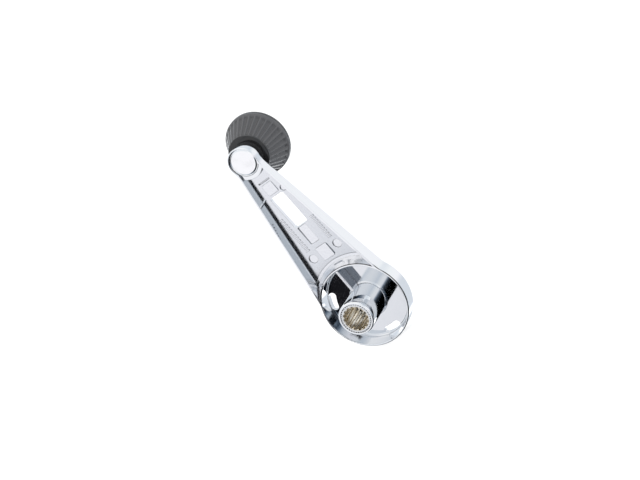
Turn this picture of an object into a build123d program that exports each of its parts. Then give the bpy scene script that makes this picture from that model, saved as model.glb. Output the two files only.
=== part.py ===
"""Window winder crank: a die-cast arm with a splined hub, and a fluted knob that spins on a pin.

The spindle axis is Y and +Y points at the door. The arm stands along +Z. The origin is the centre
of the hub's rim. Every depth below is counted from the rim towards the hand, which is -Y, so what
stands proud of the rim on the door side has a negative depth.
"""

import os
from math import cos, degrees, hypot, pi, radians, sin, tan

from build123d import *

os.makedirs("parts", exist_ok=True)

# ---- driving dimensions, in millimetres ----

# arm outline, looking at the door side
arm_length = 97.0  # spindle axis to knob axis
hub_radius = 24.0
tip_radius = 8.6
flank_inset = 1.4  # the straight flanks run this much inside the two end circles' diameters
waist_blend = 14.0  # radius where a flank runs into an end circle

# arm thickness
hub_back = 10.8  # depth of the hub's outer face
tip_back = 6.8  # depth of the flat seat under the knob
hub_flat = 14.0  # the outer face stays flat this far along the arm
tip_seat_radius = 11.0
back_bend = 30.0  # radius of the two bends in the outer face
back_edge_round = 2.2
wall_draft = 2.0  # degrees, outside of the walls
rim_round = 0.5  # outer edge of the rim
edge_round = 0.3  # inner edge of the cup's rim
reach = 2.0  # how far a cut runs past the solid

# hub cup
rim_width = 1.0
cup_depth = 7.8
cup_draft = 0.9  # the cup is this much narrower at its floor
cup_floor_round = 1.6
cup_shoulder = 1.6  # how far the cup's outside has spread half way down
cup_foot = 2.5  # how far it has spread at the tray's floor
cup_ledge = 1.5
cup_ledge_height = 0.6
cup_shoulder_share = 0.6  # the shoulder lies at this share of the ledge's depth

# tray under the arm
wall_thickness = 1.3
tray_draft = 4.0  # degrees
tray_depth_at_hub = 5.9
tray_depth_at_land = 4.1
tray_floor_round = 0.6
wall_nub_along = 73.0  # a small upright rib on the +X wall
wall_nub_radius = 0.7
land_radius = 10.0  # the raised land under the pin's head ends at this radius from the knob's axis
land_depth = 1.3

# boss and spline bush
boss_radius = 9.5
boss_height = 14.4  # how far the boss stands out beyond the rim
boss_chamfer = 0.5
boss_root_width = 0.8
boss_root_height = 0.5
bush_radius = 8.3
bush_recess = 0.15  # the bush ends this far inside the boss's mouth
bush_seat_depth = 4.0
spline_tip_radius = 6.1
spline_root_radius = 6.85
spline_count = 16
spline_gap_at_tip = 1.35
spline_gap_at_root = 0.83
knurl_count = 40
knurl_depth = 0.35
spline_lead = 0.3  # the gaps are cut from this far inside the bore
screw_hole_radius = 3.25
screw_head_radius = 6.3
screw_seat_depth = 7.2
keel_thickness = 1.5
keel_drop = 0.4  # the keel's top lies this far below the rim
keel_round = 0.45

# slots and window for the cover's clips, and the bed that the cover lies in
slot_circle_radius = 19.75
slot_width = 4.0
slot_sweep = 29.0
slot_side_angle = 63.0  # the two side slots stand this far round from the arm's line
window_centre = 62.7
window_length = 20.4
window_width = 9.0
window_corner = 1.4
bed_depth = 0.9
bed_margin = 2.3
bed_end_gap = 17.5  # knob axis back to the bed's end

# small cast features on the tray's floor
mark_lead = 0.6  # the cuts of the sunk marks start this far above the floor
mark_root = 0.5  # the raised marks reach this far into the floor
mark_corner = 0.6
recess_length = 11.3
recess_width = 5.6
recess_side = 0.8
recess_depth = 0.5
recess_gap = 0.3  # between the recess and the window
pad_length = 8.0
pad_width = 7.2
pad_centre = 34.0
pad_height = 0.6
stud_mark_radius = 2.5
stud_mark_side = 8.6
stud_mark_depth = 0.5
small_mark_radius = 1.7
small_mark_side = 6.2
small_mark_gap = 1.2  # past the window's end
gate_pad_size = 6.6
gate_pad_height = 0.3
groove_length = 7.6
groove_width = 0.8
groove_gap = 14.6  # knob axis back to the groove
tally_side = 7.9
tally_pitch = 1.75
tally_width = 0.7
tally_length = 2.3
tally_height = 0.3
tally_start = 2.0  # from the stud mark's edge
tally_count = (13, 9)  # bars on the +X side, bars on the -X side

# knob pin
head_radius = 7.65
head_depth = 0.9
head_thickness = 2.0
head_edge_round = 0.4
head_clearance = 0.25
press_radius = 4.4
pin_radius = 3.5
ring_groove_radius = 2.8
ring_groove_play = 0.1
pin_end_length = 1.6
pin_end_chamfer = 0.5

# what runs between the arm and the knob
running_clearance = 0.05
side_play = 0.2
dish_outer_radius = 6.6
dish_inner_gap = 0.15
dish_sheet = 0.4
dish_height = 1.1
thrust_thickness = 0.8
thrust_radius = 6.6
ring_thickness = 0.8
ring_outer_radius = 5.9
ring_mouth = 4.6

# knob
sleeve_radius = 5.2
sleeve_flange_radius = 8.0
sleeve_flange_thickness = 1.2
knob_height = 18.2  # neck face to the cap's end
neck_radius = 11.2
neck_smooth_length = 0.9
neck_chamfer = 0.5
knob_radius = 17.5
lip_inset = 0.45
lip_length = 1.5
cap_thickness = 3.6
cap_edge_round = 1.9
cap_dome_radius = 160.0
flute_count = 32
flute_radius_at_neck = 0.85
flute_radius_at_lip = 1.3
flute_sink = 0.35  # the flute cutter's line runs this far outside the cone
chamber_radius = 9.0
chamber_end_gap = 0.6
snap_radius = 13.6
snap_wall = 1.4
snap_length = 2.6
snap_floor_gap = 0.4

# ---- sizes that follow from those ----

sleeve_near = tip_back + dish_height + side_play  # depth where the sleeve's flange starts
neck_depth = sleeve_near + sleeve_flange_thickness
knob_end = neck_depth + knob_height
cap_seat = knob_end - cap_thickness
snap_floor = cap_seat - snap_length - snap_floor_gap
pin_end = snap_floor - chamber_end_gap
ring_far = pin_end - pin_end_length
ring_near = ring_far - ring_thickness
thrust_near = ring_near - thrust_thickness
sleeve_far = thrust_near - side_play
land_edge = arm_length - land_radius
tray_slope = (tray_depth_at_hub - tray_depth_at_land) / (land_edge - hub_radius)
head_seat = head_depth + head_thickness
knob_axis = Axis((0, 0, arm_length), (0, -1, 0))


def depth(distance):
    """The plane at that depth, facing the hand. Its x is across the arm and its y is along it."""
    return Plane.XZ.offset(distance)


def tray_floor(along):
    """Depth of the tray's floor at that distance along the arm."""
    return tray_depth_at_hub - tray_slope * (along - hub_radius)


def outline(inset=0.0):
    """The arm's outline: two end circles and straight flanks, with soft waists, drawn smaller by inset."""
    hub_flank = hub_radius - flank_inset
    tip_flank = tip_radius - flank_inset
    with BuildSketch() as drawn:
        Circle(hub_radius)
        with Locations((0, arm_length)):
            Circle(tip_radius)
        with BuildLine():
            Polyline(
                (-hub_flank, 0),
                (hub_flank, 0),
                (tip_flank, arm_length),
                (-tip_flank, arm_length),
                close=True,
            )
        make_face()
        offset(amount=waist_blend)
        offset(amount=-waist_blend - inset)
    return drawn.sketch


# ---- crank_arm: the plated die casting ----

# the space inside the tray, with the cup's outside left standing
with BuildPart() as tray:
    with BuildSketch(depth(-reach)):
        add(outline(wall_thickness - reach * tan(radians(tray_draft))))
    extrude(amount=hub_back, taper=tray_draft)
    with BuildSketch(Plane.YZ) as tray_side:
        with BuildLine():
            Polyline(
                (reach, 0),
                (-tray_floor(0), 0),
                (-tray_floor(arm_length), arm_length),
                (reach, arm_length),
                close=True,
            )
        make_face()
    extrude(amount=hub_radius * 2, both=True, mode=Mode.INTERSECT)
    floor_face = tray.faces().filter_by(GeomType.PLANE).sort_by(Axis.Y)[0]
    fillet(floor_face.edges().filter_by(lambda e: abs(e.center().X) > wall_thickness), tray_floor_round)
    with BuildSketch(depth(-reach)):
        with Locations((0, arm_length)):
            Circle(land_radius)
    extrude(amount=hub_back, mode=Mode.SUBTRACT)
    ledge_depth = tray_floor(hub_radius + cup_foot) - cup_ledge_height
    with BuildSketch(Plane.XY):
        with BuildLine():
            Polyline(
                (0, reach),
                (hub_radius, reach),
                (hub_radius, 0),
                (hub_radius + cup_shoulder, -ledge_depth * cup_shoulder_share),
                (hub_radius + cup_foot, -ledge_depth),
                (hub_radius + cup_foot + cup_ledge, -ledge_depth),
                (hub_radius + cup_foot + cup_ledge, -hub_back - reach),
                (0, -hub_back - reach),
                close=True,
            )
        make_face()
    revolve(axis=Axis.Y, mode=Mode.SUBTRACT)

# centre lines of the three arc slots: one each side of the arm's line, and one opposite it
slot_line_sweep = slot_sweep - degrees(slot_width / slot_circle_radius)
slot_lines = [
    CenterArc((0, 0), slot_circle_radius, middle - slot_line_sweep / 2, slot_line_sweep)
    for middle in (90 - slot_side_angle, 90 + slot_side_angle, -90)
]

# keel rib from the boss to the cup's wall
with BuildPart() as keel:
    with BuildSketch(depth(keel_drop)):
        with Locations((0, (boss_radius + hub_radius - rim_width) / 2)):
            Rectangle(keel_thickness, hub_radius - rim_width - boss_radius + 2 * edge_round)
    extrude(amount=cup_depth + edge_round - keel_drop)
    fillet(keel.edges().filter_by(Axis.Z).group_by(Axis.Y)[-1], keel_round)

with BuildPart() as crank_arm:
    with BuildSketch(depth(0)):
        add(outline())
    extrude(amount=hub_back + reach, taper=wall_draft)
    fillet(crank_arm.edges().group_by(Axis.Y)[-1], rim_round)
    # the outer face in side view: flat over the hub, sloping along the arm, flat under the knob
    with BuildSketch(Plane.YZ):
        with BuildLine():
            FilletPolyline(
                (-hub_back, -hub_radius - reach),
                (-hub_back, hub_flat),
                (-tip_back, arm_length - tip_seat_radius),
                (-tip_back, arm_length + tip_radius + reach),
                radius=back_bend,
            )
            Polyline(
                (-tip_back, arm_length + tip_radius + reach),
                (0, arm_length + tip_radius + reach),
                (0, -hub_radius - reach),
                (-hub_back, -hub_radius - reach),
            )
        make_face()
    extrude(amount=hub_radius + reach, both=True, mode=Mode.INTERSECT)
    outer_edges = crank_arm.edges().filter_by(lambda e: e.center().Y < -tip_back * 0.7)
    outer_edges = outer_edges - outer_edges.filter_by(Axis.Y) - outer_edges.filter_by(Axis.X)
    fillet(outer_edges, back_edge_round)
    add(tray.part, mode=Mode.SUBTRACT)

    # the land round the pin's head, and its seat
    with BuildSketch(depth(-reach)):
        add(outline(wall_thickness))
        with Locations((0, arm_length)):
            Circle(land_radius, mode=Mode.INTERSECT)
    extrude(amount=reach + land_depth, mode=Mode.SUBTRACT)
    with BuildSketch(depth(-reach)):
        with Locations((0, arm_length)):
            Circle(head_radius + head_clearance)
    extrude(amount=reach + head_seat, mode=Mode.SUBTRACT)
    with BuildSketch(depth(0)):
        with Locations((0, arm_length)):
            Circle(press_radius)
    extrude(amount=tip_back + reach, mode=Mode.SUBTRACT)

    # the cup: a drafted bowl with a rounded corner at its floor
    cup_rim_radius = hub_radius - rim_width
    cup_floor_radius = cup_rim_radius - cup_draft
    cup_mouth_radius = cup_rim_radius + cup_draft * reach / cup_depth
    with BuildSketch(Plane.XY):
        with BuildLine():
            FilletPolyline(
                (0, -cup_depth),
                (cup_floor_radius, -cup_depth),
                (cup_mouth_radius, reach),
                radius=cup_floor_round,
            )
            Polyline((cup_mouth_radius, reach), (0, reach), (0, -cup_depth))
        make_face()
    revolve(axis=Axis.Y, mode=Mode.SUBTRACT)
    cup_edges = crank_arm.edges().filter_by(GeomType.CIRCLE).filter_by_position(Axis.Y, -0.01, 0.01)
    fillet(cup_edges.filter_by(lambda e: abs(e.radius - cup_rim_radius) < 0.01), edge_round)

    # boss with its root ring
    with BuildSketch(Plane.XY):
        with BuildLine():
            Polyline(
                (0, boss_height),
                (boss_radius - boss_chamfer, boss_height),
                (boss_radius, boss_height - boss_chamfer),
                (boss_radius, -cup_depth + boss_root_height),
                (boss_radius + boss_root_width, -cup_depth),
                (boss_radius + boss_root_width, -cup_depth - edge_round),
                (0, -cup_depth - edge_round),
                close=True,
            )
        make_face()
    revolve(axis=Axis.Y)

    add(keel.part)

    # seat of the bush, screw hole and the screw head's seat
    with BuildSketch(depth(-boss_height - reach)):
        Circle(bush_radius)
    extrude(amount=boss_height + reach + bush_seat_depth, mode=Mode.SUBTRACT)
    with BuildSketch(depth(0)):
        Circle(screw_hole_radius)
    extrude(amount=hub_back + reach, mode=Mode.SUBTRACT)
    with BuildSketch(depth(screw_seat_depth)):
        Circle(screw_head_radius)
    extrude(amount=hub_back, mode=Mode.SUBTRACT)

    # bed for the cover, following the outer face
    with BuildSketch(Plane.XZ):
        add(outline(bed_margin))
        with Locations((0, arm_length * 1.5 - bed_end_gap)):
            Rectangle(hub_radius * 4, arm_length, mode=Mode.SUBTRACT)
    bed_column = extrude(amount=hub_back * 2, mode=Mode.PRIVATE)
    with BuildSketch(Plane.YZ):
        with BuildLine():
            FilletPolyline(
                (-hub_back + bed_depth, -hub_radius - reach),
                (-hub_back + bed_depth, hub_flat),
                (-tip_back + bed_depth, arm_length - tip_seat_radius),
                radius=back_bend,
            )
            Polyline(
                (-tip_back + bed_depth, arm_length - tip_seat_radius),
                (-hub_back * 2, arm_length - tip_seat_radius),
                (-hub_back * 2, -hub_radius - reach),
                (-hub_back + bed_depth, -hub_radius - reach),
            )
        make_face()
    bed_side = extrude(amount=hub_radius * 2, both=True, mode=Mode.PRIVATE)
    add(bed_column & bed_side, mode=Mode.SUBTRACT)

    # arc slots and window
    with BuildSketch(depth(0)):
        for line in slot_lines:
            SlotArc(line, slot_width)
    extrude(amount=hub_back + reach, mode=Mode.SUBTRACT)
    with BuildSketch(depth(0)):
        with Locations((0, window_centre)):
            RectangleRounded(window_width, window_length, window_corner)
    extrude(amount=hub_back + reach, mode=Mode.SUBTRACT)

    # sunk marks on the tray's floor
    recess_centre = window_centre - (window_length + recess_length) / 2 - recess_gap
    with BuildSketch(depth(tray_floor(recess_centre) - mark_lead)):
        with Locations((recess_side, recess_centre)):
            RectangleRounded(recess_width, recess_length, mark_corner)
    extrude(amount=mark_lead + recess_depth, mode=Mode.SUBTRACT)
    with BuildSketch(depth(tray_floor(pad_centre) - mark_lead)):
        with Locations((-stud_mark_side, pad_centre), (stud_mark_side, pad_centre)):
            Circle(stud_mark_radius)
    extrude(amount=mark_lead + stud_mark_depth, mode=Mode.SUBTRACT)
    small_mark_centre = window_centre + window_length / 2 + small_mark_gap
    with BuildSketch(depth(tray_floor(small_mark_centre) - mark_lead)):
        with Locations((-small_mark_side, small_mark_centre)):
            Circle(small_mark_radius)
    extrude(amount=mark_lead + stud_mark_depth, mode=Mode.SUBTRACT)
    groove_centre = arm_length - groove_gap
    with BuildSketch(depth(tray_floor(groove_centre) - mark_lead)):
        with Locations((0, groove_centre)):
            SlotOverall(groove_length, groove_width)
    extrude(amount=mark_lead + stud_mark_depth, mode=Mode.SUBTRACT)

    # upright nub on one wall, raised pads and tally bars on the tray's floor
    flank_at_nub = hub_radius - flank_inset - (hub_radius - tip_radius) * wall_nub_along / arm_length
    with BuildSketch(depth(keel_drop)):
        with Locations((flank_at_nub - wall_thickness, wall_nub_along)):
            Circle(wall_nub_radius)
    extrude(amount=tray_floor(wall_nub_along) - keel_drop + mark_root)
    with BuildSketch(depth(tray_floor(pad_centre) - pad_height)):
        with Locations((0, pad_centre)):
            RectangleRounded(pad_width, pad_length, mark_corner)
    extrude(amount=pad_height + mark_root)
    gate_pad_centre = (window_centre + window_length / 2 + groove_centre) / 2
    with BuildSketch(depth(tray_floor(gate_pad_centre) - gate_pad_height)):
        with Locations((0, gate_pad_centre)):
            RectangleRounded(gate_pad_size, gate_pad_size, mark_corner)
    extrude(amount=gate_pad_height + mark_root)
    for side, count in zip((1, -1), tally_count):
        for i in range(count):
            along = pad_centre + stud_mark_radius + tally_start + tally_pitch * (i + 0.5)
            with BuildSketch(depth(tray_floor(along) - tally_height)):
                with Locations((side * tally_side, along)):
                    Rectangle(tally_length, tally_width)
            extrude(amount=tally_height + mark_root)
crank_arm.part.label = "crank_arm"
export_step(crank_arm.part, "parts/crank_arm.step")

# ---- spline_bush: pressed into the boss from the door side ----

with BuildPart() as spline_bush:
    with BuildSketch(depth(-boss_height + bush_recess)):
        Circle(bush_radius)
        with PolarLocations(bush_radius, knurl_count):
            RegularPolygon(knurl_depth, 4, mode=Mode.SUBTRACT)
        Circle(spline_tip_radius, mode=Mode.SUBTRACT)
        with PolarLocations(0, spline_count):
            Polygon(
                (spline_tip_radius - spline_lead, -spline_gap_at_tip / 2),
                (spline_root_radius, -spline_gap_at_root / 2),
                (spline_root_radius, spline_gap_at_root / 2),
                (spline_tip_radius - spline_lead, spline_gap_at_tip / 2),
                align=None,
                mode=Mode.SUBTRACT,
            )
    extrude(amount=boss_height - bush_recess + bush_seat_depth)
spline_bush.part.label = "spline_bush"
export_step(spline_bush.part, "parts/spline_bush.step")

# ---- knob_pin: turned steel, pressed through the tip from the door side ----

knob_side = Plane.XY.offset(arm_length)  # section plane through the knob's axis

with BuildPart() as knob_pin:
    with BuildSketch(knob_side):
        with BuildLine():
            Polyline(
                (0, -head_depth),
                (head_radius, -head_depth),
                (head_radius, -head_seat),
                (press_radius, -head_seat),
                (press_radius, -tip_back),
                (pin_radius, -tip_back),
                (pin_radius, -ring_near + ring_groove_play / 2),
                (ring_groove_radius, -ring_near + ring_groove_play / 2),
                (ring_groove_radius, -ring_far - ring_groove_play / 2),
                (pin_radius, -ring_far - ring_groove_play / 2),
                (pin_radius, -pin_end + pin_end_chamfer),
                (pin_radius - pin_end_chamfer, -pin_end),
                (0, -pin_end),
                close=True,
            )
        make_face()
    revolve(axis=knob_axis)
    head_edge = knob_pin.edges().filter_by(GeomType.CIRCLE).group_by(Axis.Y)[-1]
    fillet(head_edge, head_edge_round)
knob_pin.part.label = "knob_pin"
export_step(knob_pin.part, "parts/knob_pin.step")

# ---- dished_washer: spring steel, between the arm's tip and the knob ----

dish_inner_radius = pin_radius + dish_inner_gap
with BuildPart() as dished_washer:
    with BuildSketch(knob_side):
        with BuildLine():
            Polyline(
                (dish_outer_radius, -tip_back),
                (dish_outer_radius, -tip_back - dish_sheet),
                (dish_inner_radius, -tip_back - dish_height),
                (dish_inner_radius, -tip_back - dish_height + dish_sheet),
                close=True,
            )
        make_face()
    revolve(axis=knob_axis)
dished_washer.part.label = "dished_washer"
export_step(dished_washer.part, "parts/dished_washer.step")

# ---- pivot_sleeve: flanged bearing, pressed into the knob ----

with BuildPart() as pivot_sleeve:
    with BuildSketch(knob_side):
        with BuildLine():
            Polyline(
                (pin_radius + running_clearance, -sleeve_near),
                (sleeve_flange_radius, -sleeve_near),
                (sleeve_flange_radius, -neck_depth),
                (sleeve_radius, -neck_depth),
                (sleeve_radius, -sleeve_far),
                (pin_radius + running_clearance, -sleeve_far),
                close=True,
            )
        make_face()
    revolve(axis=knob_axis)
pivot_sleeve.part.label = "pivot_sleeve"
export_step(pivot_sleeve.part, "parts/pivot_sleeve.step")

# ---- thrust_washer and retaining_ring: on the pin, inside the knob ----

with BuildPart() as thrust_washer:
    with BuildSketch(depth(thrust_near)):
        with Locations((0, arm_length)):
            Circle(thrust_radius)
            Circle(pin_radius + running_clearance, mode=Mode.SUBTRACT)
    extrude(amount=thrust_thickness)
thrust_washer.part.label = "thrust_washer"
export_step(thrust_washer.part, "parts/thrust_washer.step")

with BuildPart() as retaining_ring:
    with BuildSketch(depth(ring_near)):
        with Locations((0, arm_length)):
            Circle(ring_outer_radius)
            Circle(ring_groove_radius, mode=Mode.SUBTRACT)
        with Locations((0, arm_length - ring_outer_radius)):
            Rectangle(ring_mouth, ring_outer_radius * 2, mode=Mode.SUBTRACT)
    extrude(amount=ring_thickness)
retaining_ring.part.label = "retaining_ring"
export_step(retaining_ring.part, "parts/retaining_ring.step")

# ---- knob_body: black moulding, a fluted cone open at both ends ----

cone_start = neck_depth + neck_smooth_length
cone_end = cap_seat - lip_length
cone_radius_end = knob_radius - lip_inset
cone_rise = cone_radius_end - neck_radius
cone_run = cone_end - cone_start
cone_length = hypot(cone_rise, cone_run)
with BuildPart() as knob_body:
    with BuildSketch(knob_side):
        with BuildLine():
            Polyline(
                (sleeve_radius, -neck_depth),
                (neck_radius - neck_chamfer, -neck_depth),
                (neck_radius, -neck_depth - neck_chamfer),
                (neck_radius, -cone_start),
                (cone_radius_end, -cone_end),
                (knob_radius, -cone_end - lip_inset),
                (knob_radius, -cap_seat),
                (snap_radius, -cap_seat),
                (snap_radius, -snap_floor),
                (chamber_radius, -snap_floor),
                (chamber_radius, -sleeve_far),
                (sleeve_radius, -sleeve_far),
                close=True,
            )
        make_face()
    revolve(axis=knob_axis)
    for i in range(flute_count):
        turn = 2 * pi * i / flute_count
        outward = Vector(cos(turn), 0, sin(turn))
        start = Vector(0, -cone_start, arm_length) + outward * (neck_radius + flute_sink)
        along = (outward * cone_rise + Vector(0, -cone_run, 0)).normalized()
        with Locations(Plane(origin=start, z_dir=along)):
            Cone(
                flute_radius_at_neck,
                flute_radius_at_lip,
                cone_length,
                align=(Align.CENTER, Align.CENTER, Align.MIN),
                mode=Mode.SUBTRACT,
            )
knob_body.part.label = "knob_body"
export_step(knob_body.part, "parts/knob_body.step")

# ---- knob_cap: snaps into the knob's wide end ----

dome_drop = cap_dome_radius - (cap_dome_radius**2 - knob_radius**2) ** 0.5
with BuildPart() as knob_cap:
    with BuildSketch(knob_side) as cap_section:
        with BuildLine():
            Polyline(
                (0, -knob_end),
                (0, -cap_seat),
                (snap_radius - snap_wall, -cap_seat),
                (snap_radius - snap_wall, -cap_seat + snap_length),
                (snap_radius, -cap_seat + snap_length),
                (snap_radius, -cap_seat),
                (knob_radius, -cap_seat),
                (knob_radius, -knob_end + dome_drop),
            )
            RadiusArc((knob_radius, -knob_end + dome_drop), (0, -knob_end), cap_dome_radius)
        make_face()
        rim_corner = cap_section.vertices().group_by(Axis.X)[-1].sort_by(Axis.Y)[0]
        fillet(rim_corner, min(cap_edge_round, (cap_thickness - dome_drop) * 0.8))
    revolve(axis=knob_axis)
knob_cap.part.label = "knob_cap"
export_step(knob_cap.part, "parts/knob_cap.step")
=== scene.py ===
"""A window winder crank: chrome-plated arm, broached bush, riveted pin and a fluted black knob.

The spindle axis is Y, the door side is +Y, and the arm stands along +Z. Everything is in metres.
"""

import bmesh
import bpy
import numpy as np
from mathutils import Matrix, Vector


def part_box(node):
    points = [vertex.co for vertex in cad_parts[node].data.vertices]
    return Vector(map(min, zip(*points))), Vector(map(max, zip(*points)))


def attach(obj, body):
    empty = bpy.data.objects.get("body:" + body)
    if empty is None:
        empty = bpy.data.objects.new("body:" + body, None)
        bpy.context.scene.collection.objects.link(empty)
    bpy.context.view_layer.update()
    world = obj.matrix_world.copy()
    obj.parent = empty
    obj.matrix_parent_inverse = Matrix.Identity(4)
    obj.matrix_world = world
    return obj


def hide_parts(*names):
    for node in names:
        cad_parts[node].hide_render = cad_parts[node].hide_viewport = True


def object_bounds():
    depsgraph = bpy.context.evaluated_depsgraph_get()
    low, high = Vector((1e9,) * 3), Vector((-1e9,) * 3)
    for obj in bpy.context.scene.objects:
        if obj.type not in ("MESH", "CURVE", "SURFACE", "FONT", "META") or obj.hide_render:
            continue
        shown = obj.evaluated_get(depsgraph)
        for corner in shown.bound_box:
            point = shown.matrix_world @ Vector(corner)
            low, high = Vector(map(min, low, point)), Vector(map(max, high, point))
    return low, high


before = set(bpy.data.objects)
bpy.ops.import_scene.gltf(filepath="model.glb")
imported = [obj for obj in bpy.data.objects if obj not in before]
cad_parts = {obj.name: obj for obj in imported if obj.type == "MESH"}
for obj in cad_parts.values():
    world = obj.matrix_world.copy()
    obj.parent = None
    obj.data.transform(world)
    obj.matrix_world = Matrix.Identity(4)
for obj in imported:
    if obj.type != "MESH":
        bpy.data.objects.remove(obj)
cad_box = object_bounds()
# ---- the arm ----
# A die casting with a hub cup, a hollow tray under the arm and a seat for the knob's pin.
# It is chrome plated all over. The tray's floor, the keel and the cup's flank under the arm are left
# as cast beneath the plate, so they are grainier. Shade is painted into the colour in crevices and down
# in the cup, dark reflections are painted along the hub's rim and the edges on the tray's floor, and
# the edges carry brown patches that are partly grime and partly painted shade.

mm = 0.001

plate_colour = (0.87, 0.88, 0.895, 1)
cup_shade_colour = (0.77, 0.78, 0.80, 1)  # painted shade: greyer, down in the cup
cast_colour = (0.84, 0.84, 0.87, 1)
# painted shade in corners and grooves, from ambient occlusion
crevice_shade_colour = (0.20, 0.20, 0.215, 1)
edge_reflection_colour = (0.30, 0.30, 0.32, 1)  # painted dark reflection along the edges of what stands on the tray's floor
rim_reflection_colour = (0.05, 0.045, 0.04, 1)  # painted dark reflection along the hub's rim
# brown, for grime and for painted shade along the edges
grime_and_shade_colour = (0.33, 0.26, 0.20, 1)
edge_reflection_strength = 0.55
edge_softness = 0.22 * mm
crevice_shade_reach = 1.0 * mm

# Each pair is where a mask is 0, and then where it is 1.
tray_start = (26.0 * mm, 27.5 * mm)  # along the arm, from the spindle axis
tray_end = (94.0 * mm, 92.5 * mm)
tray_depth = (-2.6 * mm, -3.2 * mm)
facing_door = (0.6, 0.9)
flank_radius = (23.6 * mm, 23.9 * mm)  # outside the cup
flank_start = (12.0 * mm, 15.0 * mm)
flank_end = (29.0 * mm, 27.0 * mm)
flank_facing = (0.05, 0.15)
keel_side = (1.3 * mm, 1.1 * mm)  # from the keel's middle
keel_root = (9.7 * mm, 10.1 * mm)  # radius, just outside the boss
keel_foot = (-7.7 * mm, -7.4 * mm)  # just above the cup's floor
keel_end = (22.4 * mm, 22.0 * mm)
cup_radius = (23.0 * mm, 22.0 * mm)
cup_depth = (-6.2 * mm, -7.4 * mm)
rim_reflection_depth = (-0.60 * mm, -0.42 * mm)
rim_reflection_inside = (23.25 * mm, 23.35 * mm)
rim_reflection_outside = (25.6 * mm, 24.6 * mm)
rim_reflection_low = (0.12, 0.25)  # how far the surface faces the door
rim_reflection_high = (0.97, 0.90)


def new_finish(name):
    """An empty material: its node tree, and one Principled shader wired to the output."""
    material = bpy.data.materials.new(name)
    material.use_nodes = True
    tree = material.node_tree
    tree.nodes.clear()
    shader = tree.nodes.new("ShaderNodeBsdfPrincipled")
    output = tree.nodes.new("ShaderNodeOutputMaterial")
    tree.links.new(shader.outputs["BSDF"], output.inputs["Surface"])
    return material, tree, shader


def put(tree, kind, inputs=(), **settings):
    """Adds one node. Settings are its own options; inputs are its sockets, each a value or a wire."""
    node = tree.nodes.new("ShaderNode" + kind)
    for key, value in settings.items():
        setattr(node, key, value)
    for key, value in dict(inputs).items():
        if isinstance(value, bpy.types.NodeSocket):
            tree.links.new(value, node.inputs[key])
        else:
            node.inputs[key].default_value = value
    return node


def number(tree, operation, first, second=0.5, third=0.0):
    """One sum on two or three numbers, kept between 0 and 1."""
    inputs = {0: first, 1: second, 2: third}
    return put(tree, "Math", inputs, operation=operation, use_clamp=True).outputs[0]


def where_all(tree, mask, *others):
    """The product of several masks, which is 1 only where every one of them is."""
    for other in others:
        mask = number(tree, "MULTIPLY", mask, other)
    return mask


def ramp(tree, value, start, end, low=0.0, high=1.0):
    """Turns a value softly from low, at start, to high, at end."""
    inputs = {"Value": value, "From Min": start, "From Max": end, "To Min": low, "To Max": high}
    return put(tree, "MapRange", inputs, interpolation_type="SMOOTHSTEP").outputs["Result"]


def noise(tree, place, size, detail=3.0, stretch=(1.0, 1.0, 1.0)):
    """Soft random grain whose lumps are about that size across, in metres, drawn out by stretch."""
    scale = tuple(1.0 / (size * s) for s in stretch)
    scaled = put(tree, "Mapping", {"Vector": place, "Scale": scale}).outputs["Vector"]
    inputs = {"Vector": scaled, "Scale": 1.0, "Detail": detail}
    return put(tree, "TexNoise", inputs).outputs["Fac"]


def from_y_axis(tree, place):
    """How far a place is from the Y axis: the square root of x squared plus z squared."""
    parts = put(tree, "SeparateXYZ", {0: place}).outputs
    flat = put(tree, "CombineXYZ", {"X": parts["X"], "Y": parts["Z"]}).outputs[0]
    return put(tree, "VectorMath", {0: flat}, operation="LENGTH").outputs["Value"]


def openness(tree, reach):
    """How open the surface is: 1 in the open, and less in a corner or groove about that size."""
    inputs = {"Distance": reach}
    return put(tree, "AmbientOcclusion", inputs, samples=8, only_local=True).outputs["AO"]


def rounded(tree, softness):
    """The normal, with edges rounded off by that radius."""
    return put(tree, "Bevel", {"Radius": softness}, samples=6).outputs["Normal"]


def along_edges(tree, rounded_normal):
    """A mask that is 1 along the edges, where the rounded normal leaves the plain one."""
    inputs = {0: rounded_normal, 1: put(tree, "NewGeometry").outputs["Normal"]}
    same = put(tree, "VectorMath", inputs, operation="DOT_PRODUCT").outputs["Value"]
    return ramp(tree, same, 0.995, 0.86)


def mixed(tree, share, first, second):
    """A colour that goes from the first to the second as share goes from 0 to 1."""
    return put(tree, "MixRGB", {"Fac": share, "Color1": first, "Color2": second}).outputs["Color"]


def bump(tree, height, distance, normal=None):
    """Tips the normal as a surface of that height would, laid over another normal if one is given."""
    inputs = {"Height": height, "Distance": distance, "Strength": 1.0}
    if normal is not None:
        inputs["Normal"] = normal
    return put(tree, "Bump", inputs).outputs["Normal"]


def coat(node, finish):
    """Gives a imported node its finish."""
    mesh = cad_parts[node].data
    mesh.materials.clear()
    mesh.materials.append(finish)


plate, tree, shader = new_finish("chrome_over_zinc")
place = put(tree, "TexCoord").outputs["Object"]
along = put(tree, "SeparateXYZ", {0: place}).outputs
facing = put(tree, "SeparateXYZ", {0: put(tree, "TexCoord").outputs["Normal"]}).outputs
from_spindle = from_y_axis(tree, place)
rounded_normal = rounded(tree, edge_softness)
edges = along_edges(tree, rounded_normal)

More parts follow.
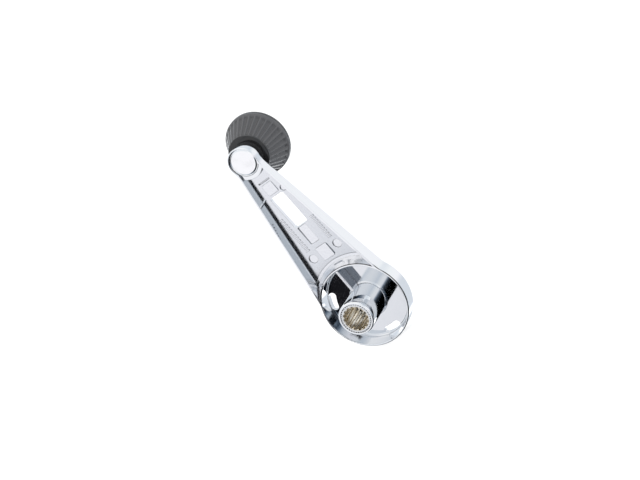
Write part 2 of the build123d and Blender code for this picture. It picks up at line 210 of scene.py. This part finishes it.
tray_floor = where_all(
    tree,
    ramp(tree, along["Z"], *tray_start),
    ramp(tree, along["Z"], *tray_end),
    ramp(tree, along["Y"], *tray_depth),
    ramp(tree, facing["Y"], *facing_door),
)
cup_flank = where_all(
    tree,
    ramp(tree, from_spindle, *flank_radius),
    ramp(tree, along["Z"], *flank_start),
    ramp(tree, facing["Y"], *flank_facing),
    ramp(tree, along["Z"], *flank_end),
)
keel = where_all(
    tree,
    ramp(tree, number(tree, "ABSOLUTE", along["X"]), *keel_side),
    ramp(tree, from_spindle, *keel_root),
    ramp(tree, along["Y"], *keel_foot),
    ramp(tree, along["Z"], *keel_end),
)
in_cup = where_all(
    tree,
    ramp(tree, from_spindle, *cup_radius),
    ramp(tree, along["Y"], *cup_depth),
)
as_cast = number(tree, "MAXIMUM", number(tree, "MAXIMUM", tray_floor, cup_flank), keel)

cloud = noise(tree, place, 14 * mm, 4.0)
smear = noise(tree, place, 3.2 * mm, 5.0, (1.0, 1.0, 3.0))
grain = noise(tree, place, 0.35 * mm, 5.0)
scratch = noise(tree, place, 0.25 * mm, 2.0, (1.0, 1.0, 40.0))
peel = noise(tree, place, 1.6 * mm, 1.0)

haze = ramp(tree, cloud, 0.42, 0.68, 0.018, 0.045)
smeared = ramp(tree, smear, 0.5, 0.72, 0.0, 0.03)
polished_gloss = number(tree, "MULTIPLY_ADD", in_cup, 0.05, number(tree, "ADD", haze, smeared))
cast_gloss = number(tree, "MULTIPLY_ADD", grain, 0.10, 0.11)
gloss = put(tree, "MapRange", {"Value": as_cast, "To Min": polished_gloss, "To Max": cast_gloss})
tree.links.new(gloss.outputs["Result"], shader.inputs["Roughness"])
shader.inputs["Metallic"].default_value = 1.0

grained = where_all(tree, as_cast, ramp(tree, grain, 0.4, 0.62))
painted_crevice_shade = ramp(tree, openness(tree, crevice_shade_reach), 0.80, 0.42, 0.0, 0.85)
painted_edge_reflection = where_all(tree, edges, tray_floor, edge_reflection_strength)
# Painted reflection: a dark line along the hub's rim.
painted_rim_reflection = where_all(
    tree,
    ramp(tree, facing["Y"], *rim_reflection_low),
    ramp(tree, facing["Y"], *rim_reflection_high),
    ramp(tree, along["Y"], *rim_reflection_depth),
    ramp(tree, from_spindle, *rim_reflection_inside),
    ramp(tree, from_spindle, *rim_reflection_outside),
    ramp(tree, smear, 0.30, 0.50, 0.55, 0.97),
)
grime_and_edge_shade = where_all(tree, edges, ramp(tree, smear, 0.50, 0.66, 0.0, 0.45))
# Painted shade: the plate is drawn greyer down in the cup.
colour = mixed(tree, in_cup, plate_colour, cup_shade_colour)
colour = mixed(tree, grained, colour, cast_colour)
# Painted shade: darker in corners and grooves, by ambient occlusion.
colour = mixed(tree, painted_crevice_shade, colour, crevice_shade_colour)
# Painted reflection: dark lines along the edges of what stands on the tray's floor.
colour = mixed(tree, painted_edge_reflection, colour, edge_reflection_colour)
colour = mixed(tree, painted_rim_reflection, colour, rim_reflection_colour)
# Brown patches along the edges: partly grime, partly painted shade.
tree.links.new(mixed(tree, grime_and_edge_shade, colour, grime_and_shade_colour), shader.inputs["Base Color"])

peeled = bump(tree, peel, 0.004 * mm, rounded_normal)
scratched = bump(tree, ramp(tree, scratch, 0.62, 0.8), 0.0015 * mm, peeled)
cast_height = where_all(tree, grain, as_cast)
tree.links.new(bump(tree, cast_height, 0.006 * mm, scratched), shader.inputs["Normal"])
coat("crank_arm", plate)

# ---- the spline bush ----
# A knurled ring pressed into the boss, broached with the teeth that grip the regulator's spindle.
# It is unplated metal, pale on the end face and yellower in the bore, with the broach's fine lines
# running down each tooth and brown grease in the roots.

bush_low, bush_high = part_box("spline_bush")
bush_outer = bush_high.x
knurls = 40
knurl_height = 0.5 * mm
teeth = 16
tooth_tip = 6.1 * mm
tooth_root = 6.85 * mm
bush_chamfer = 0.18 * mm
bush_columns = teeth * 60
bush_wall_rows = 12
bush_face_rows = 9
bush_round_rows = 5

# Each pair is where a mask is 0, and then where it is 1, as a radius.
face_starts = (tooth_root - 0.25 * mm, tooth_root + 0.35 * mm)
root_starts = (tooth_tip + 0.15 * mm, tooth_root - 0.05 * mm)
bore_ends = (tooth_root + 0.15 * mm, tooth_root - 0.05 * mm)
grease_colour = (0.38, 0.30, 0.20, 1)


def soften(corners, rounding, steps=6):
    """Swaps each corner of a section for a short curve that leaves both sides at that distance.

    The curve is the corner plus rounding times ((1 - t)^2 of the way back plus t^2 of the way on), for t
    from 0 to 1. One more point on each side, a little further out, keeps the faces beside it flat.
    """
    corners = np.array(corners, float)
    rounding = np.broadcast_to(rounding, len(corners))[:, None, None]
    back = np.roll(corners, 1, 0) - corners
    on = np.roll(corners, -1, 0) - corners
    back /= np.linalg.norm(back, axis=1, keepdims=True)
    on /= np.linalg.norm(on, axis=1, keepdims=True)
    t = np.linspace(0, 1, steps + 1)
    share_back = np.concatenate([[1.5], (1 - t) ** 2, [0.0]])[None, :, None]
    share_on = np.concatenate([[0.0], t**2, [1.5]])[None, :, None]
    curve = corners[:, None] + rounding * (share_back * back[:, None] + share_on * on[:, None])
    return curve.reshape(-1, 2)


def turned(name, radius, depth, centre_z, finish, ring=True):
    """A skin round the Y axis: row i is a circle of that radius at that y, and radius may vary round it too.

    A point is (radius sin a, depth, centre_z + radius cos a) for a from 0 to a full turn. With ring, the
    last row joins the first one. Points that meet are merged, so poles and seams are closed.
    """
    meeting = 0.0005 * mm
    radius, depth = np.broadcast_arrays(radius, depth)
    rows, columns = radius.shape
    angle = np.linspace(0, 2 * np.pi, columns, endpoint=False)
    points = np.stack([radius * np.sin(angle), depth, centre_z + radius * np.cos(angle)], -1)
    index = np.arange(rows * columns).reshape(rows, columns)
    if ring:
        index = np.vstack([index, index[:1]])
    beside = np.roll(index, -1, 1)
    faces = np.stack([index[:-1], beside[:-1], beside[1:], index[1:]], -1).reshape(-1, 4)
    mesh = bpy.data.meshes.new(name)
    mesh.from_pydata(points.reshape(-1, 3).tolist(), [], faces.tolist())
    shape = bmesh.new()
    shape.from_mesh(mesh)
    bmesh.ops.remove_doubles(shape, verts=shape.verts, dist=meeting)
    bmesh.ops.recalc_face_normals(shape, faces=shape.faces)
    shape.to_mesh(mesh)
    shape.free()
    mesh.polygons.foreach_set("use_smooth", np.ones(len(mesh.polygons), bool))
    mesh.materials.append(finish)
    piece = bpy.data.objects.new(name, mesh)
    bpy.context.scene.collection.objects.link(piece)
    return piece


def toothed(angle, count, inner, outer, steepness):
    """A radius that goes between inner and outer, count times round, with flat lands and steep flanks."""
    return inner + (outer - inner) * np.clip(0.5 + steepness * np.cos(count * angle), 0, 1)


bush_metal, tree, shader = new_finish("broached_bush")
place = put(tree, "TexCoord").outputs["Object"]
from_axis = from_y_axis(tree, place)
grease = noise(tree, place, 2.4 * mm, 4.0, (1.0, 2.0, 1.0))
speck = noise(tree, place, 0.22 * mm, 3.0)
broach = noise(tree, place, 0.12 * mm, 2.0, (1.0, 60.0, 1.0))
specked = ramp(tree, speck, 0.35, 0.7)
bore_metal = mixed(tree, specked, (0.94, 0.87, 0.74, 1), (0.80, 0.70, 0.54, 1))
face_metal = mixed(tree, specked, (0.93, 0.93, 0.92, 1), (0.76, 0.76, 0.77, 1))
bare_metal = mixed(tree, ramp(tree, from_axis, *face_starts), bore_metal, face_metal)
dirty = where_all(
    tree,
    ramp(tree, from_axis, *root_starts),
    ramp(tree, from_axis, *bore_ends),
    ramp(tree, grease, 0.35, 0.6, 0.10, 0.55),
)
tree.links.new(mixed(tree, dirty, bare_metal, grease_colour), shader.inputs["Base Color"])
tree.links.new(ramp(tree, speck, 0.3, 0.7, 0.16, 0.30), shader.inputs["Roughness"])
shader.inputs["Metallic"].default_value = 1.0
lined = bump(tree, broach, 0.012 * mm, rounded(tree, 0.08 * mm))
tree.links.new(bump(tree, speck, 0.010 * mm, lined), shader.inputs["Normal"])

angle = np.linspace(0, 2 * np.pi, bush_columns, endpoint=False)[None, :]
outside = toothed(angle, knurls, bush_outer - knurl_height, bush_outer, 1.4)
inside = toothed(angle, teeth, tooth_tip, tooth_root, 1.1)
top = bush_high.y
bottom = bush_low.y
share = np.linspace(0, 1, bush_wall_rows)[:, None]
face_share = np.linspace(0, 1, bush_face_rows)[:, None]
round_off = 1 - np.cos(np.linspace(0, np.pi / 2, bush_round_rows))[:, None]
rise = bush_chamfer * np.sqrt(1 - (1 - round_off) ** 2)
outer_face = outside - bush_chamfer
inner_face = inside + bush_chamfer
bush_radius_rows = np.vstack(
    [
        outside + 0 * share,
        outside - bush_chamfer * round_off,
        outer_face + (inner_face - outer_face) * face_share,
        inside + bush_chamfer * round_off[::-1],
        inside + 0 * share,
    ]
)
bush_depth_rows = np.vstack(
    [
        bottom + (top - bush_chamfer - bottom) * share,
        top - bush_chamfer + rise,
        top + 0 * face_share,
        top - bush_chamfer + rise[::-1],
        top - bush_chamfer + (bottom - top + bush_chamfer) * share,
    ]
)
bush = turned("broached_bush", bush_radius_rows, bush_depth_rows, 0.0, bush_metal)
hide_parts("spline_bush")
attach(bush, "arm")

# ---- the knob's pin ----
# Turned steel, pressed through the arm's tip from the door side and brightly plated.
# Its broad head is polished almost flat, and a ring groove near the far end holds the knob on.

pin_low, pin_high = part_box("knob_pin")
knob_axis = (pin_low.z + pin_high.z) / 2
head_face = pin_high.y
head_radius = pin_high.x
head_crown = 0.07 * mm
head_edge = 0.35 * mm
head_back = head_face - 2.0 * mm
press_radius = 4.4 * mm
press_end = -6.8 * mm
shank_radius = 3.5 * mm
groove_radius = 2.8 * mm
ring_low, ring_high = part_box("retaining_ring")
groove_play = 0.05 * mm
pin_chamfer = 0.5 * mm
head_back_round = 0.2 * mm
step_round = 0.05 * mm
crown_rows = 14
pin_columns = 96

pin_plate, tree, shader = new_finish("plated_pin")
place = put(tree, "TexCoord").outputs["Object"]
cloud = noise(tree, place, 6 * mm, 3.0)
fine = noise(tree, place, 0.3 * mm, 3.0)
centred = put(tree, "Mapping", {"Vector": place, "Location": (0, 0, -knob_axis)}).outputs["Vector"]
ring_lines = put(
    tree,
    "TexWave",
    {"Vector": centred, "Scale": 900.0, "Distortion": 1.0, "Detail": 2.0, "Detail Scale": 1.0},
    wave_type="RINGS",
    rings_direction="Y",
).outputs["Fac"]
bright = mixed(tree, ramp(tree, cloud, 0.45, 0.7), (0.95, 0.945, 0.95, 1), (0.90, 0.895, 0.90, 1))
tree.links.new(bright, shader.inputs["Base Color"])
tree.links.new(ramp(tree, cloud, 0.35, 0.7, 0.05, 0.11), shader.inputs["Roughness"])
shader.inputs["Metallic"].default_value = 1.0
lined = bump(tree, ring_lines, 0.0008 * mm, rounded(tree, 0.1 * mm))
tree.links.new(bump(tree, fine, 0.0015 * mm, lined), shader.inputs["Normal"])

crown_share = np.linspace(0, 1, crown_rows)
crown_reach = crown_share * (head_radius - 2 * head_edge)
crown = np.stack([crown_reach, head_face - head_crown * crown_share**2], -1)
shank = soften(
    [
        (head_radius, head_face - head_crown * 1.1),
        (head_radius, head_back),
        (press_radius, head_back),
        (press_radius, press_end),
        (shank_radius, press_end),
        (shank_radius, ring_high.y + groove_play),
        (groove_radius, ring_high.y + groove_play),
        (groove_radius, ring_low.y - groove_play),
        (shank_radius, ring_low.y - groove_play),
        (shank_radius, pin_low.y),
        (0, pin_low.y),
    ],
    [head_edge, head_back_round] + [step_round] * 7 + [pin_chamfer, 0],
)
pin_section = np.vstack([crown, shank])
pin_radius_rows = pin_section[:, :1] + np.zeros(pin_columns)
pin = turned("polished_pin", pin_radius_rows, pin_section[:, 1:], knob_axis, pin_plate, ring=False)
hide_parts("knob_pin")
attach(pin, "arm")

# ---- washers and retaining ring ----
# A dished spring washer takes up the rattle between arm and knob. A flat thrust washer and a
# ring in the pin's groove hold the knob from inside. All are oiled spring steel.

spring_steel, tree, shader = new_finish("oiled_spring_steel")
place = put(tree, "TexCoord").outputs["Object"]
heat = noise(tree, place, 3 * mm, 3.0)
rub = noise(tree, place, 0.2 * mm, 3.0)
steel = mixed(tree, ramp(tree, heat, 0.35, 0.65), (0.42, 0.43, 0.45, 1), (0.25, 0.24, 0.25, 1))
tree.links.new(steel, shader.inputs["Base Color"])
tree.links.new(ramp(tree, rub, 0.3, 0.7, 0.22, 0.4), shader.inputs["Roughness"])
shader.inputs["Metallic"].default_value = 1.0
tree.links.new(bump(tree, rub, 0.004 * mm), shader.inputs["Normal"])
for name in ("dished_washer", "thrust_washer", "retaining_ring"):
    coat(name, spring_steel)

# ---- pivot sleeve ----
# A flanged bearing moulded in black acetal and pressed into the knob. It is duller than the
# knob, with a fine uneven rub all over.

acetal, tree, shader = new_finish("black_acetal")
place = put(tree, "TexCoord").outputs["Object"]
rub = noise(tree, place, 0.5 * mm, 4.0)
black = mixed(tree, ramp(tree, rub, 0.4, 0.7), (0.018, 0.018, 0.020, 1), (0.035, 0.035, 0.036, 1))
tree.links.new(black, shader.inputs["Base Color"])
tree.links.new(ramp(tree, rub, 0.3, 0.7, 0.38, 0.55), shader.inputs["Roughness"])
tree.links.new(bump(tree, rub, 0.006 * mm), shader.inputs["Normal"])
coat("pivot_sleeve", acetal)

# ---- knob body ----
# A black moulding shaped like a cone with its narrow neck at the arm. Thirty-two round-bottomed
# flutes run along the cone and stop at a thin lip. The plastic is glossy and dark grey, a little
# paler on the ridges and in dusty patches. Shade is painted in: nearly black down in the flutes and at the
# neck.

body_low, body_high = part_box("knob_body")
neck_face = body_high.y
body_end = body_low.y
body_radius = (body_high.x - body_low.x) / 2
neck_radius = 11.2 * mm
smooth_neck = 0.9 * mm
lip_length = 1.5 * mm
lip_inset = 0.45 * mm
flutes = 32
flute_columns = 20
flute_radius_at_neck = 0.85 * mm
flute_radius_at_lip = 1.3 * mm
flute_sink = 0.35 * mm
ridge_softness = 0.10 * mm
flute_run_in = 0.05  # share of the cone over which a flute deepens from the neck
flute_run_out = 0.06  # share of the cone over which it fades out towards the lip
body_bore = 5.2 * mm
chamber_radius = 9.0 * mm
chamber_floor = -16.9 * mm
snap_radius = 13.6 * mm
snap_floor = body_end + 3.0 * mm
lip_round = 0.12 * mm
end_round = 0.2 * mm
inner_round = 0.1 * mm
neck_round = 0.35 * mm
join = 0.02 * mm  # how far the lip's first and last points stand off the cone's ends
cone_rows = 44
flute_opening = 1.3 * mm
neck_shade = (neck_face - 1.5 * smooth_neck, neck_face - 0.8 * smooth_neck)  # none, then full

knob_grey = (0.078, 0.079, 0.084, 1)
dust_grey = (0.100, 0.100, 0.102, 1)
flute_shade_black = (0.018, 0.0185, 0.020, 1)
neck_shade_black = (0.014, 0.014, 0.015, 1)
ridge_grey = (0.095, 0.096, 0.10, 1)

knob_plastic, tree, shader = new_finish("moulded_knob_plastic")
place = put(tree, "TexCoord").outputs["Object"]
centred = put(tree, "Mapping", {"Vector": place, "Location": (0, 0, -knob_axis)}).outputs["Vector"]
polish = noise(tree, place, 5 * mm, 4.0)
dust = noise(tree, place, 0.8 * mm, 5.0)
skin = noise(tree, place, 0.12 * mm, 2.0)
scuff = noise(tree, centred, 0.5 * mm, 3.0, (1.0, 12.0, 1.0))
rounded_normal = rounded(tree, 0.15 * mm)
worn = where_all(tree, along_edges(tree, rounded_normal), ramp(tree, scuff, 0.42, 0.62))
down_knob = put(tree, "SeparateXYZ", {0: place}).outputs["Y"]
colour = mixed(tree, ramp(tree, dust, 0.56, 0.8, 0.0, 0.4), knob_grey, dust_grey)
# Painted shade: nearly black down in the flutes, by ambient occlusion.
colour = mixed(tree, ramp(tree, openness(tree, flute_opening), 0.96, 0.72), colour, flute_shade_black)
# Painted shade: nearly black at the neck.
colour = mixed(tree, ramp(tree, down_knob, *neck_shade), colour, neck_shade_black)
tree.links.new(mixed(tree, worn, colour, ridge_grey), shader.inputs["Base Color"])
tree.links.new(ramp(tree, polish, 0.3, 0.7, 0.08, 0.15), shader.inputs["Roughness"])
shader.inputs["IOR"].default_value = 1.5
pebbled = bump(tree, skin, 0.0008 * mm, rounded_normal)
tree.links.new(bump(tree, scuff, 0.0008 * mm, pebbled), shader.inputs["Normal"])

cone_start = neck_face - smooth_neck
cone_end = body_end + lip_length
cone_top_radius = body_radius - lip_inset
cone_share = np.linspace(0, 1, cone_rows)[:, None]
cone_radius = neck_radius + (cone_top_radius - neck_radius) * cone_share
cone_depth = cone_start + (cone_end - cone_start) * cone_share
flute_radius = flute_radius_at_neck + (flute_radius_at_lip - flute_radius_at_neck) * cone_share
angle = np.linspace(0, 2 * np.pi, flutes * flute_columns, endpoint=False)[None, :]
from_middle = (np.mod(angle * flutes / (2 * np.pi) + 0.5, 1) - 0.5) * (2 * np.pi / flutes)
sideways = cone_radius * from_middle
scoop = np.sqrt(np.clip(flute_radius**2 - sideways**2, 0, None)) - flute_sink
scoop = (scoop + np.sqrt(scoop**2 + ridge_softness**2)) / 2
fade = np.clip(np.minimum(cone_share / flute_run_in, (1 - cone_share) / flute_run_out), 0, 1)
fluted = cone_radius - scoop * fade * fade * (3 - 2 * fade)
lip = soften(
    [
        (cone_top_radius + join, cone_end - join),
        (body_radius, cone_end - lip_inset),
        (body_radius, body_end),
        (snap_radius, body_end),
        (snap_radius, snap_floor),
        (chamber_radius, snap_floor),
        (chamber_radius, chamber_floor),
        (body_bore, chamber_floor),
        (body_bore, neck_face),
        (neck_radius, neck_face),
        (neck_radius, cone_start + join),
    ],
    [0, lip_round, end_round] + [inner_round] * 6 + [neck_round, 0],
)
body_radius_rows = np.vstack([fluted, lip[:, :1] + np.zeros(flutes * flute_columns)])
body_depth_rows = np.concatenate([cone_depth, lip[:, 1:]])
body = turned("fluted_knob", body_radius_rows, body_depth_rows, knob_axis, knob_plastic)
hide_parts("knob_body")
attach(body, "knob")

# ---- knob cap ----
# A low-domed disc snapped into the knob's wide end, moulded in dark plastic with a satin face.
# Its rounded edge meets the knob's lip in a fine seam.

cap_low, cap_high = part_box("knob_cap")
cap_face = cap_low.y
cap_radius = (cap_high.x - cap_low.x) / 2
cap_seat = body_end
dome_radius = 160.0 * mm
cap_edge_round = 1.9 * mm
snap_ring_inner = snap_radius - 1.4 * mm
dome_rows = 20
cap_columns = 144

satin_plastic, tree, shader = new_finish("satin_cap_plastic")
place = put(tree, "TexCoord").outputs["Object"]
cloud = noise(tree, place, 7 * mm, 4.0)
leather = noise(tree, place, 0.28 * mm, 3.0)
satin = mixed(tree, ramp(tree, cloud, 0.35, 0.7), (0.050, 0.0505, 0.054, 1), (0.068, 0.0685, 0.072, 1))
tree.links.new(satin, shader.inputs["Base Color"])
tree.links.new(ramp(tree, cloud, 0.3, 0.7, 0.26, 0.36), shader.inputs["Roughness"])
shader.inputs["IOR"].default_value = 1.5
tree.links.new(bump(tree, leather, 0.012 * mm, rounded(tree, 0.15 * mm)), shader.inputs["Normal"])

dome_share = np.linspace(0, 1, dome_rows)[:, None]
dome_reach = (cap_radius - cap_edge_round * 1.5) * dome_share
dome = np.hstack([dome_reach, cap_face + dome_radius - np.sqrt(dome_radius**2 - dome_reach**2)])
rim_depth = cap_face + dome_radius - np.sqrt(dome_radius**2 - cap_radius**2)
rest = soften(
    [
        (cap_radius, rim_depth),
        (cap_radius, cap_seat),
        (snap_radius, cap_seat),
        (snap_radius, cap_high.y),
        (snap_ring_inner, cap_high.y),
        (snap_ring_inner, cap_seat),
        (0, cap_seat),
    ],
    [cap_edge_round, end_round] + [inner_round] * 4 + [0],
)
cap_section = np.vstack([dome, rest])
cap_radius_rows = cap_section[:, :1] + np.zeros(cap_columns)
cap = turned("domed_cap", cap_radius_rows, cap_section[:, 1:], knob_axis, satin_plastic, ring=False)
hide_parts("knob_cap")
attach(cap, "knob")

# ---- floor, light and camera ----
# A plain pale floor, lit by plain white. Reflections see a light tent with two bright strips and
# five dark flags, and a black card by the cup, which are placed for this camera. The floor and the
# softbox stay out of reflections.

floor_half = 6.0
floor_mesh = bpy.data.meshes.new("floor")
floor_level = cad_box[0].z
floor_mesh.from_pydata(
    [
        (-floor_half, -floor_half, floor_level),
        (floor_half, -floor_half, floor_level),
        (floor_half, floor_half, floor_level),
        (-floor_half, floor_half, floor_level),
    ],
    [],
    [(0, 1, 2, 3)],
)
floor = bpy.data.objects.new("floor", floor_mesh)
bpy.context.scene.collection.objects.link(floor)
floor_paint, tree, shader = new_finish("pale_floor")
shader.inputs["Base Color"].default_value = (0.40, 0.40, 0.40, 1)
shader.inputs["Emission Color"].default_value = (1, 1, 1, 1)
shader.inputs["Emission Strength"].default_value = 0.72  # the floor glows, so it has almost no shadow
shader.inputs["Roughness"].default_value = 0.9
shader.inputs["Specular IOR Level"].default_value = 0.1
floor_mesh.materials.append(floor_paint)
floor.visible_glossy = False

tent = bpy.data.worlds.new("light_tent")
tent.use_nodes = True
tree = tent.node_tree
tree.nodes.clear()
direction = put(tree, "TexCoord").outputs["Generated"]
parts = put(tree, "SeparateXYZ", {0: direction}).outputs
sideways, reach, height = parts["X"], parts["Y"], parts["Z"]
walls = put(tree, "ValToRGB", {"Fac": number(tree, "MULTIPLY_ADD", height, 0.5, 0.5)})
bands = walls.color_ramp.elements
bands[0].position, bands[0].color = 0.08, (0.015, 0.016, 0.020, 1)
bands[1].position, bands[1].color = 0.90, (1.10, 1.10, 1.10, 1)
shades = [
    (0.16, (0.10, 0.12, 0.15, 1)),
    (0.24, (0.45, 0.52, 0.60, 1)),
    (0.34, (0.82, 0.86, 0.90, 1)),
    (0.41, (1.00, 1.00, 1.04, 1)),
    (0.56, (0.97, 1.00, 1.02, 1)),
    (0.66, (0.72, 0.78, 0.85, 1)),
]
for position, shade in shades:
    bands.new(position).color = shade
behind = where_all(tree, ramp(tree, reach, 0.0, -0.3), ramp(tree, height, -0.08, -0.25))
colour = mixed(tree, behind, walls.outputs["Color"], (0.74, 0.79, 0.85, 1))
beside = where_all(
    tree,
    ramp(tree, reach, -0.1, -0.35),
    ramp(tree, sideways, 0.2, 0.5),
    ramp(tree, height, 0.3, 0.0),
)
colour = mixed(tree, beside, colour, (0.66, 0.71, 0.77, 1))


def near(tree, direction, aim, full, gone):
    """A mask on the tent's wall: 1 within full degrees of where it is aimed, 0 beyond gone degrees."""
    inputs = {0: direction, 1: tuple(np.array(aim) / np.linalg.norm(aim))}
    nearness = put(tree, "VectorMath", inputs, operation="DOT_PRODUCT").outputs["Value"]
    return ramp(tree, nearness, float(np.cos(np.radians(gone))), float(np.cos(np.radians(full))))


strip_lights = [
    # where it hangs, half width in degrees where it is full, and where it has gone, and its colour
    ((0.30, -0.65, -0.70), 13, 20, (2.6, 2.65, 2.7, 1)),
    ((0.72, -0.69, 0.02), 8, 14, (2.2, 2.25, 2.3, 1)),
]
for aim, full, gone, shine in strip_lights:
    colour = mixed(tree, near(tree, direction, aim, full, gone), colour, shine)
flags = [
    # where it hangs, half width in degrees where it is full, and where it has gone
    ((-0.40, 0.91, -0.25), 3, 16),
    ((-0.27, 0.83, -0.48), 5, 19),
    ((-0.16, 0.84, -0.52), 10, 20),
    ((0.05, 0.85, -0.52), 12, 24),
    ((0.32, 0.82, -0.47), 8, 19),
]
for aim, full, gone in flags:
    flag_ramp = put(tree, "ValToRGB", {"Fac": near(tree, direction, aim, full, gone)})
    flag_ramp.color_ramp.elements[0].color = (1, 1, 1, 1)
    flag_ramp.color_ramp.elements[1].color = (0.008, 0.009, 0.012, 1)
    flag_ramp.color_ramp.elements.new(0.5).color = (0.26, 0.32, 0.38, 1)
    inputs = {"Fac": 1.0, "Color1": colour, "Color2": flag_ramp.outputs["Color"]}
    colour = put(tree, "MixRGB", inputs, blend_type="MULTIPLY").outputs["Color"]
mirrored = put(tree, "LightPath").outputs["Is Glossy Ray"]
plain_white = (1.2, 1.2, 1.2, 1)
background = put(tree, "Background", {"Color": mixed(tree, mirrored, plain_white, colour)})
put(tree, "OutputWorld", {"Surface": background.outputs[0]})
bpy.context.scene.world = tent

# A black card beside the cup: the floor of the cup, on one side of the keel, mirrors it. It is that
# patch of floor, moved along the camera's line of sight as the floor mirrors it.
card_reach = 60 * mm
card_way = Vector((0.521, 0.836, -0.174)) * card_reach
cup_floor = -7.8 * mm
card_outline = [(0, 21.5), (0, 9), (11, -3), (22, -3), (22, 21.5)]  # millimetres across and along
card_corners = [Vector((x * mm, cup_floor, z * mm)) + card_way for x, z in card_outline]
card_mesh = bpy.data.meshes.new("black_card")
card_mesh.from_pydata(card_corners, [], [tuple(range(len(card_corners)))])
card = bpy.data.objects.new("black_card", card_mesh)
bpy.context.scene.collection.objects.link(card)
card_paper, tree, shader = new_finish("black_card")
shader.inputs["Base Color"].default_value = (0.01, 0.01, 0.012, 1)
shader.inputs["Roughness"].default_value = 1.0
shader.inputs["Specular IOR Level"].default_value = 0.0
card_mesh.materials.append(card_paper)
card.visible_camera = False
card.visible_diffuse = False
card.visible_shadow = False

softbox_way = Vector((-0.41, 0.836, 0.36))
lamp = bpy.data.lights.new("softbox", "AREA")
lamp.shape = "DISK"
lamp.size = 0.14
lamp.energy = 1.6
softbox = bpy.data.objects.new("softbox", lamp)
softbox_turn = softbox_way.to_track_quat("Z", "Y").to_matrix().to_4x4()
softbox.matrix_world = Matrix.Translation(softbox_way) @ softbox_turn
softbox.visible_camera = False
softbox.visible_glossy = False
bpy.context.scene.collection.objects.link(softbox)

camera_data = bpy.data.cameras.new("camera")
camera_data.lens = 158.3
camera_data.sensor_width = 36.0
camera_data.clip_start = 0.05
camera_data.clip_end = 20.0
camera = bpy.data.objects.new("camera", camera_data)
camera_right = (-0.70481, -0.30680, -0.63962)
camera_up = (-0.48118, -0.45576, 0.74883)
camera_back = (-0.52126, 0.83556, 0.17360)
camera_place = (-0.75548, 1.20231, 0.29138)
camera.matrix_world = Matrix(
    [
        (camera_right[0], camera_up[0], camera_back[0], camera_place[0]),
        (camera_right[1], camera_up[1], camera_back[1], camera_place[1]),
        (camera_right[2], camera_up[2], camera_back[2], camera_place[2]),
        (0, 0, 0, 1),
    ]
)
bpy.context.scene.collection.objects.link(camera)
bpy.context.scene.camera = camera
bpy.context.scene.view_settings.view_transform = "Standard"
